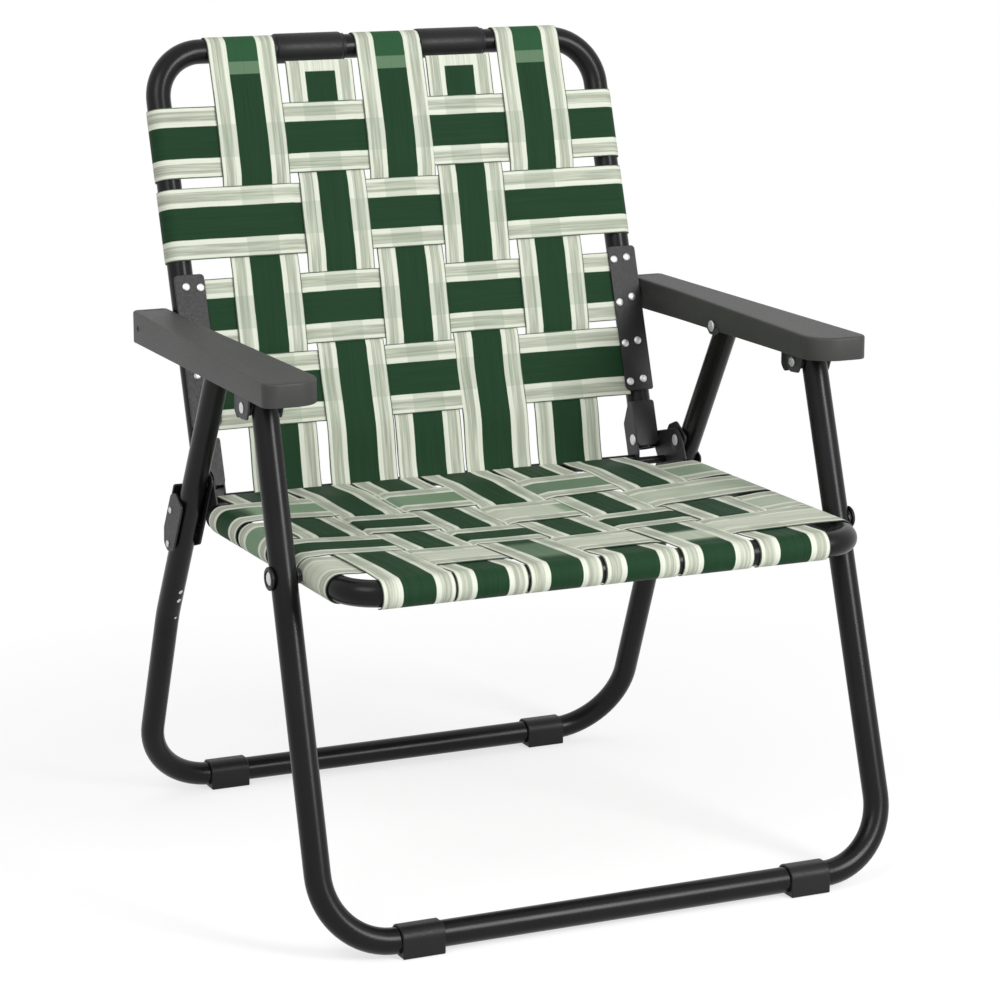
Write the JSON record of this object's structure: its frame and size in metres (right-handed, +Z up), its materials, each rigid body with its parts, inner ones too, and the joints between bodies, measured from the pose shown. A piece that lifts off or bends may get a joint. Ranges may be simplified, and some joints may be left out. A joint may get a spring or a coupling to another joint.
{
  "type": "folding webbed lawn chair",
  "caption": "Low folding chair: bent tube leg, seat and back frames on rivet pivots, flat armrests, and a seat and back of woven flat webbing straps.",
  "frame": {"origin": "on the floor, under the middle of the opened chair", "axes": "+Z up, the sitter faces -Y, +X towards the viewer's right when looking at the front"},
  "size_m": [0.6232, 0.5982, 0.7909],
  "materials": {
    "frame": "satin black",
    "plate": "satin black",
    "plastic": "dark grey, finely textured",
    "cap": "black, dull",
    "rivet": "bare, slightly dull",
    "webbing": "woven, dark green with cream edge stripes"
  },
  "bodies": {
    "front_legs": {"front_leg_frame": "frame", "front_foot_cap_right": "cap", "front_foot_cap_left": "cap", "front_leg_bracket_right": "plate", "front_leg_bracket_left": "plate", "seat_pivot_pin_right": "rivet", "seat_pivot_pin_left": "rivet"},
    "seat": {"seat_frame": "frame", "seat_rear_rod": "frame", "seat_rear_bracket_right": "plate", "seat_rear_bracket_left": "plate", "back_hinge_pin_right": "rivet", "back_hinge_pin_left": "rivet", "saddle_pin_right": "rivet", "saddle_pin_left": "rivet", "seat_strap_1": "webbing", "seat_strap_2": "webbing", "seat_strap_3": "webbing", "seat_strap_4": "webbing", "seat_strap_5": "webbing", "seat_strap_6": "webbing", "seat_band_1": "webbing", "seat_band_2": "webbing", "seat_band_3": "webbing", "seat_band_4": "webbing"},
    "back": {"back_frame": "frame", "back_lower_rod": "frame", "back_side_plate_right": "plate", "back_side_plate_left": "plate", "back_lower_bracket_right": "plate", "back_lower_bracket_left": "plate", "top_grip_right": "cap", "top_grip_left": "cap", "back_strap_1": "webbing", "back_strap_2": "webbing", "back_strap_3": "webbing", "back_strap_4": "webbing", "back_strap_5": "webbing", "back_band_1": "webbing", "back_band_2": "webbing", "back_band_3": "webbing", "back_band_4": "webbing"},
    "armrests": {"armrest_right": "plastic", "armrest_left": "plastic", "arm_front_pin_right": "rivet", "arm_front_pin_left": "rivet", "arm_rear_leg_pin_right": "rivet", "arm_rear_leg_pin_left": "rivet", "arm_back_pin_right": "rivet", "arm_back_pin_left": "rivet"},
    "rear_legs": {"rear_leg_frame": "frame", "rear_foot_cap_right": "cap", "rear_foot_cap_left": "cap"},
    "rear_saddles": {"rear_leg_saddle_right": "plate", "rear_leg_saddle_left": "plate"}
  },
  "joints": [
    {"name": "seat_fold", "type": "hinge", "parent": "front_legs", "child": "seat", "pos_m": [0, -0.18179, 0.339], "axis": [-1, 0, 0], "range_deg": [0, 90]},
    {"name": "arm_fold", "type": "hinge", "parent": "front_legs", "child": "armrests", "pos_m": [0, -0.12298, 0.487], "axis": [-1, 0, 0], "range_deg": [0, 90]},
    {"name": "back_fold", "type": "hinge", "parent": "seat", "child": "back", "pos_m": [0, 0.14171, 0.3627], "axis": [1, 0, 0], "range_deg": [0, 90]},
    {"name": "rear_leg_fold", "type": "hinge", "parent": "armrests", "child": "rear_legs", "pos_m": [0, 0.01902, 0.5015], "axis": [1, 0, 0], "range_deg": [0, 51]},
    {"name": "saddle_turn", "type": "hinge", "parent": "seat", "child": "rear_saddles", "pos_m": [0, 0.09801, 0.3685], "axis": [1, 0, 0], "range_deg": [0, 51]}
  ],
  "couplings": [
    {"joint": "arm_fold", "follows": "seat_fold", "ratio": 1},
    {"joint": "back_fold", "follows": "seat_fold", "ratio": 1},
    {"joint": "rear_leg_fold", "follows": "seat_fold", "ratio": 0.565},
    {"joint": "saddle_turn", "follows": "seat_fold", "ratio": 0.565}
  ]
}
